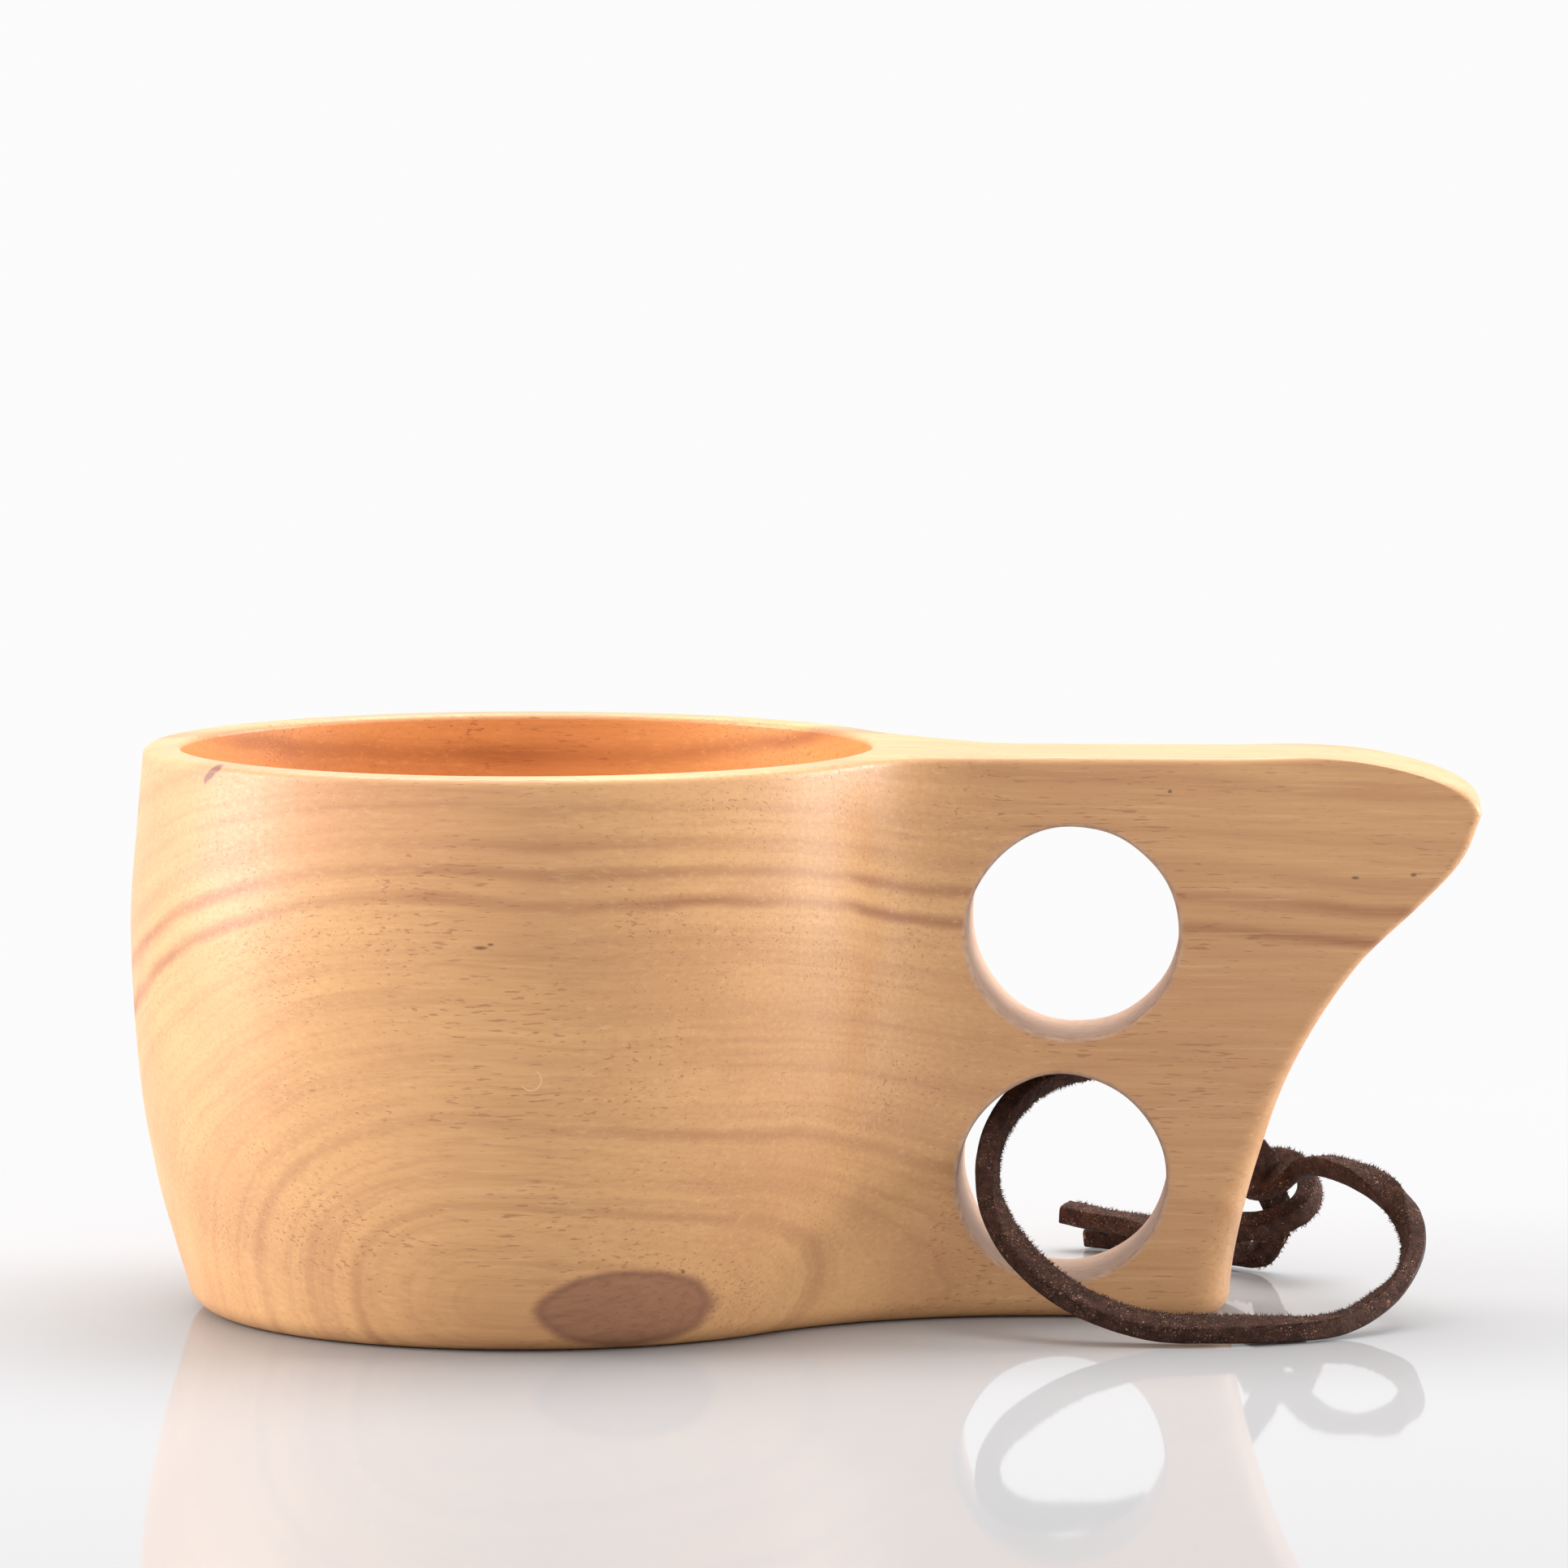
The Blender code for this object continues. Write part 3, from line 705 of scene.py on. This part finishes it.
def half_outline(height):
    """Plan outline on the +Y side at a height, from the back of the bowl to the handle's end."""
    inset = edge_inset(height)
    bowl, blend, blend_x, blend_y = blend_arc(height, inset)
    side = HALF_THICKNESS - inset
    rounding = read_curve(REAR_ROUNDING, height) - inset * 0.8
    end = rear_x(height) - inset
    tangent = math.atan2(blend_y, blend_x)
    points = arc((0.0, 0.0), bowl, math.pi, tangent, 84)
    points += arc((blend_x, blend_y), blend, math.pi + tangent, 1.5 * math.pi, 30)[1:]
    corner_x = end - rounding
    points += [(blend_x + (corner_x - blend_x) * step / 20, side) for step in range(1, 20)]
    points += arc((corner_x, side - rounding), rounding, math.pi / 2, 0.0, 10)
    return points


def side_y(x, height):
    """How far the side face stands from the middle plane, where a hole goes through it."""
    _, blend, blend_x, blend_y = blend_arc(height, 0.0)
    if x >= blend_x:
        return HALF_THICKNESS
    return blend_y - math.sqrt(max(blend ** 2 - (x - blend_x) ** 2, 0.0))


def cup_blank():
    """The cup's outside as one closed loft of plan outlines."""
    foot = [FOOT_ROUNDING * (1 - math.cos(math.pi / 2 * k / 8)) for k in range(9)]
    sides = [FOOT_ROUNDING + (TIP_HEIGHT - FOOT_ROUNDING) * k / 60 for k in range(1, 60)]
    nose_drop = HEIGHT - TIP_HEIGHT
    nose = [TIP_HEIGHT + nose_drop * math.sin(math.radians(a)) for a in range(0, 58, 3)]
    top = [HEIGHT - TOP_ROUNDING * (1 - math.sin(math.pi / 2 * k / 8)) for k in range(9)]
    form = bmesh.new()
    rings = []
    for height in foot + sides + nose + top:
        half = half_outline(height)
        full = half + [(x, -y) for x, y in reversed(half[1:])]
        rings.append([form.verts.new((x, y, height)) for x, y in full])
    count = len(rings[0])
    for lower, upper in zip(rings, rings[1:]):
        for index in range(count):
            after = (index + 1) % count
            form.faces.new((lower[index], upper[index], upper[after], lower[after]))
    # Base and top close with strips from side to side
    for ring in (rings[0], rings[-1]):
        for index in range(1, (count - 1) // 2):
            a, b = ring[index], ring[index + 1]
            c, d = ring[count - index - 1], ring[count - index]
            form.faces.new((a, b, c, d))
        form.faces.new((ring[0], ring[1], ring[-1]))
        middle = (count + 1) // 2
        if ring[middle - 1] not in (ring[count - middle], ring[middle]):
            form.faces.new((ring[middle - 1], ring[middle], ring[count - middle]))
    bmesh.ops.recalc_face_normals(form, faces=form.faces)
    return form


def hollow_outline():
    """The bowl's hollow as (radius, z) from above the rim down to the floor's centre."""
    above = HEIGHT + 0.004
    edge = MOUTH_RADIUS + LIP_ROUNDING
    points = [(edge + 0.0004, above), (edge + 0.0002, HEIGHT + 0.00002)]
    for step in range(1, 9):
        angle = math.pi / 2 * step / 8
        points.append((MOUTH_RADIUS + LIP_ROUNDING * (1 - math.sin(angle)),
                       HEIGHT - LIP_ROUNDING * (1 - math.cos(angle))))
    wall_height, wall_radius = HOLLOW_PROFILE[0]
    top = HEIGHT - LIP_ROUNDING
    for step in range(1, 31):
        height = top + (wall_height - top) * step / 30
        points.append((read_curve(HOLLOW_PROFILE, height), height))
    corner = wall_height - FLOOR_THICKNESS
    centre = wall_radius - corner
    for step in range(1, 15):
        angle = math.pi / 2 * step / 14
        points.append((centre + corner * math.cos(angle), wall_height - corner * math.sin(angle)))
    points += [(centre * share, FLOOR_THICKNESS) for share in (0.7, 0.4, 0.15)]
    return points


def ring_solid(name, rings):
    """A closed solid from equal rings of points."""
    form = bmesh.new()
    made = [[form.verts.new(point) for point in ring] for ring in rings]
    count = len(made[0])
    for first, second in zip(made, made[1:]):
        for index in range(count):
            after = (index + 1) % count
            form.faces.new((first[index], second[index], second[after], first[after]))
    form.faces.new(made[0])
    form.faces.new(list(reversed(made[-1])))
    bmesh.ops.recalc_face_normals(form, faces=form.faces)
    return add_object(name, form, [])


def hollow_cutter():
    """The bowl's hollow as a turned solid."""
    angles = [2 * math.pi * step / 200 for step in range(200)]
    return ring_solid("hollow_cutter", [
        [(radius * math.cos(a), radius * math.sin(a), z) for a in angles] for radius, z in hollow_outline()
    ])


def hole_cutter(name, centre, radius, seed):
    """A finger hole that is slightly uneven by hand, with edges that round over onto both faces."""
    chance = random.Random(seed)
    waves = [(k, chance.uniform(-1, 1) * 0.00011 / k ** 0.5, chance.uniform(0, 6.28))
             for k in (2, 3, 5, 8, 11)]
    angles = [2 * math.pi * step / 120 for step in range(120)]
    wobble = [sum(size * math.sin(k * a + turn) for k, size, turn in waves) for a in angles]
    levels = [("wall", 0.0)] + [("edge", math.pi / 2 * step / 7) for step in range(8)]
    levels += [("over", 0.0003), ("end", 0.0)]
    rings = []
    for side in (-1, 1):
        made = []
        for kind, value in levels:
            ring = []
            for angle, shift in zip(angles, wobble):
                base = radius + shift
                rim = base + HOLE_EDGE
                edge = side_y(centre[0] + rim * math.cos(angle), centre[1] + rim * math.sin(angle)) + 0.00001
                if kind == "wall":
                    out, far = base, 0.004
                elif kind == "edge":
                    out = base + HOLE_EDGE * (1 - math.cos(value))
                    far = edge - HOLE_EDGE * (1 - math.sin(value))
                elif kind == "over":
                    out, far = rim + value, edge + 0.0005
                else:
                    out, far = rim + 0.0003, 0.024
                ring.append((centre[0] + out * math.cos(angle), side * far,
                             centre[1] + out * math.sin(angle)))
            made.append(ring)
        rings += list(reversed(made)) if side < 0 else made
    return ring_solid(name, rings)


def make_cup(material):
    """The carved cup: the loft less its hollow and its two holes, with the handle's top planed down."""
    cup = add_object("carved_cup", cup_blank(), [material])
    cutters = [
        hollow_cutter(),
        hole_cutter("upper_hole_cutter", UPPER_HOLE, UPPER_HOLE_RADIUS, 4),
        hole_cutter("lower_hole_cutter", LOWER_HOLE, LOWER_HOLE_RADIUS, 9),
    ]
    for cutter in cutters:
        cut = cup.modifiers.new(cutter.name, "BOOLEAN")
        cut.operation = "DIFFERENCE"
        cut.solver = "EXACT"
        cut.object = cutter
    bpy.context.view_layer.update()
    carved = bpy.data.meshes.new_from_object(cup.evaluated_get(bpy.context.evaluated_depsgraph_get()))
    cup.modifiers.clear()
    cup.data = carved
    for cutter in cutters:
        bpy.data.objects.remove(cutter)
    form = bmesh.new()
    form.from_mesh(carved)
    bmesh.ops.remove_doubles(form, verts=form.verts, dist=0.000004)
    for vertex in form.verts:
        x, y, z = vertex.co
        planed = smoothstep(x, 0.046, 0.060) * smoothstep(z, 0.060, HEIGHT)
        planed *= 1.0 - smoothstep(x, 0.086, 0.104)
        vertex.co.z -= HANDLE_DIP * planed
    form.to_mesh(carved)
    form.free()
    carved.shade_smooth()
    carved.set_sharp_from_angle(angle=math.radians(40))
    weigh = cup.modifiers.new("even_shading", "WEIGHTED_NORMAL")
    weigh.keep_sharp = True
    return cup


cup = make_cup(make_wood())
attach(cup, SWING["parent"])
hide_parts("cup_body")


# ---------------------------------------------------------------- floor and light

FLOOR_Y = -2.6
FLOOR_FADE_START = 0.07
FLOOR_FADE_END = 0.36


def make_floor():
    """A white polished table that mirrors the cup faintly."""
    form = bmesh.new()
    bmesh.ops.create_grid(form, x_segments=1, y_segments=1, size=3.0)
    material = bpy.data.materials.new("polished_table")
    material.use_nodes = True
    nodes, links = material.node_tree.nodes, material.node_tree.links
    nodes.remove(nodes["Principled BSDF"])
    diffuse = nodes.new("ShaderNodeBsdfDiffuse")
    diffuse.inputs["Color"].default_value = colour(0.362, 0.362, 0.369)
    mirror = nodes.new("ShaderNodeBsdfGlossy")
    mirror.inputs["Color"].default_value = colour(1.0, 1.0, 1.0)
    mirror.inputs["Roughness"].default_value = 0.035
    blend = nodes.new("ShaderNodeMixShader")
    blend.inputs[0].default_value = 0.22
    links.new(diffuse.outputs[0], blend.inputs[1])
    links.new(mirror.outputs[0], blend.inputs[2])
    # Far behind the cup the table fades into the white of the tent, so it shows no edge
    split = nodes.new("ShaderNodeSeparateXYZ")
    links.new(nodes.new("ShaderNodeTexCoord").outputs["Object"], split.inputs[0])
    fade = nodes.new("ShaderNodeMapRange")
    fade.interpolation_type = "SMOOTHSTEP"
    fade.inputs["From Min"].default_value = FLOOR_FADE_START - FLOOR_Y
    fade.inputs["From Max"].default_value = FLOOR_FADE_END - FLOOR_Y
    links.new(split.outputs["Y"], fade.inputs["Value"])
    clear = nodes.new("ShaderNodeBsdfTransparent")
    surface = nodes.new("ShaderNodeMixShader")
    links.new(fade.outputs["Result"], surface.inputs[0])
    links.new(blend.outputs[0], surface.inputs[1])
    links.new(clear.outputs[0], surface.inputs[2])
    links.new(surface.outputs[0], nodes["Material Output"].inputs["Surface"])
    floor = add_object("table_top", form, [material])
    floor.location = (0.0, FLOOR_Y, -0.00005)


def make_area(name, place, aim, size, power, tint):
    """A soft rectangular light that looks at a point."""
    data = bpy.data.lights.new(name, "AREA")
    data.shape = "RECTANGLE"
    data.size, data.size_y = size
    data.energy = power
    data.color = tint
    light = bpy.data.objects.new(name, data)
    light.location = place
    light.rotation_mode = "QUATERNION"
    light.rotation_quaternion = (Vector(aim) - Vector(place)).to_track_quat("-Z", "Y")
    bpy.context.scene.collection.objects.link(light)


def make_light():
    """A white tent, with soft boxes above, behind to the right and to the left."""
    world = bpy.data.worlds.new("white_tent")
    world.use_nodes = True
    world.node_tree.nodes["Background"].inputs["Color"].default_value = colour(1.0, 1.0, 1.0)
    world.node_tree.nodes["Background"].inputs["Strength"].default_value = 0.97
    bpy.context.scene.world = world
    middle = (0.03, 0.0, 0.04)
    make_area("top_box", (0.05, 0.25, 0.9), middle, (0.9, 0.7), 12.0, (1.0, 1.0, 1.0))
    make_area("right_box", (0.84, 0.26, 0.17), middle, (0.5, 0.5), 10.0, (1.0, 0.99, 0.97))
    make_area("left_box", (-0.8, -0.05, 0.25), middle, (0.4, 0.6), 9.0, (1.0, 0.97, 0.95))


make_floor()
make_light()
bpy.context.scene.view_settings.view_transform = "Standard"
